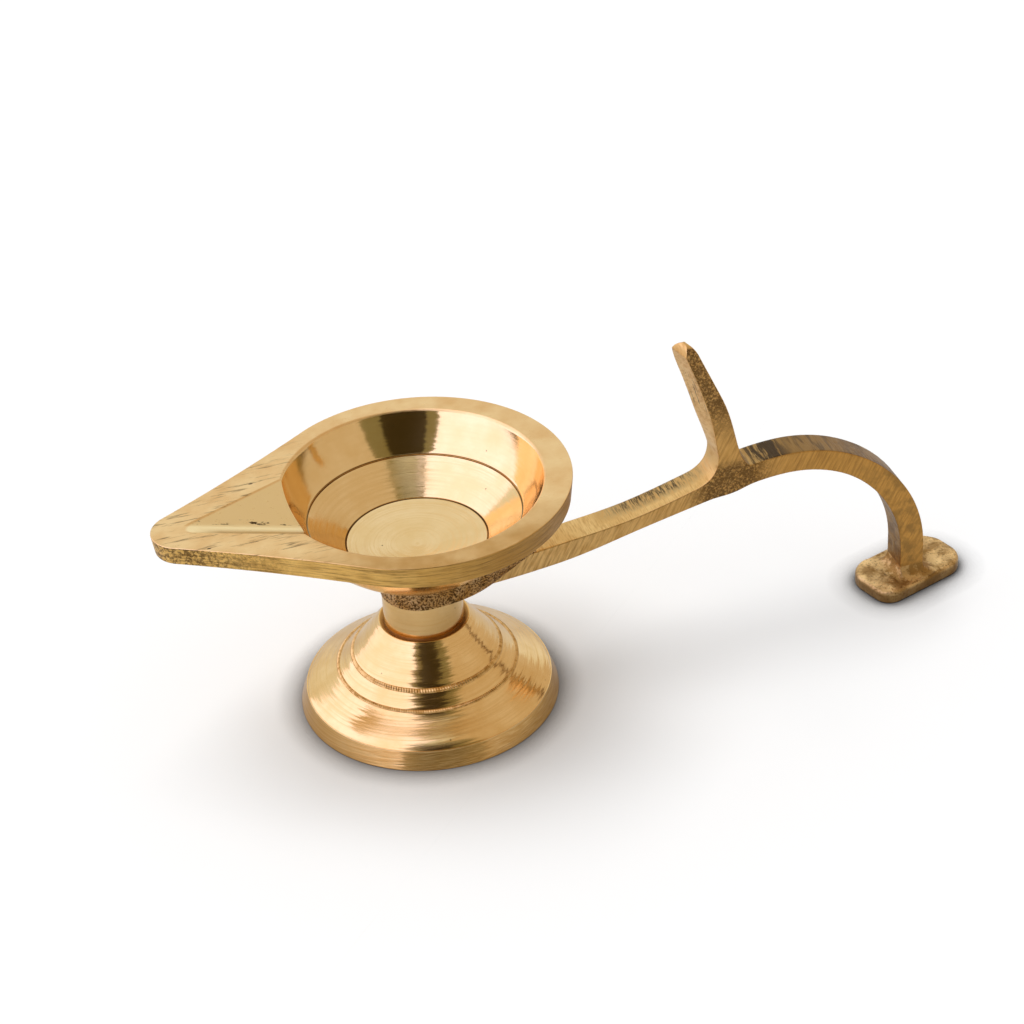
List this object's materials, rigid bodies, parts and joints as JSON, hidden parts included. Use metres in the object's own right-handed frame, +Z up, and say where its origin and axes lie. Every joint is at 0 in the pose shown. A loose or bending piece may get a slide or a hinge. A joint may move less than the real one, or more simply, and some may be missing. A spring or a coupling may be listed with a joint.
{
  "type": "single-wick aarti lamp",
  "caption": "Brass hand lamp: teardrop bowl with a wick spout on a turned foot, and an arched handle with a thumb rest.",
  "frame": {"origin": "centre of the lamp's length and width, on the table it stands on", "axes": "+X along the handle, from the spout towards the pad; +Y to the left of someone looking along +X; +Z up"},
  "size_m": [0.16, 0.0572, 0.0656],
  "materials": {
    "turned_brass": "turned and polished, with fine lathe marks and two milled lines",
    "polished_brass": "mirror-turned hollow, satin ground rim, filed side",
    "cast_brass": "sand cast, ground on its edges, pitted and dark in places",
    "stud_brass": "cut thread, unpolished"
  },
  "bodies": {
    "foot": {"foot": "turned_brass"},
    "stud": {"stud": "stud_brass"},
    "bowl": {"bowl": "polished_brass"},
    "handle": {"handle": "cast_brass"}
  },
  "joints": [
    {"name": "stud_rise", "type": "slide", "parent": "foot", "child": "stud", "axis": [0, 0, 1], "range_m": [0, 0.00657]},
    {"name": "bowl_unscrew", "type": "hinge", "parent": "stud", "child": "bowl", "pos_m": [-0.03136, 0, 0.0285], "axis": [0, 0, 1], "range_deg": [0, 1890]},
    {"name": "handle_swivel", "type": "hinge", "parent": "foot", "child": "handle", "pos_m": [-0.03136, 0, 0.0264], "axis": [0, 0, 1], "continuous": true}
  ],
  "couplings": [
    {"joint": "stud_rise", "follows": "bowl_unscrew", "m_per_rad": 0.00019894}
  ]
}
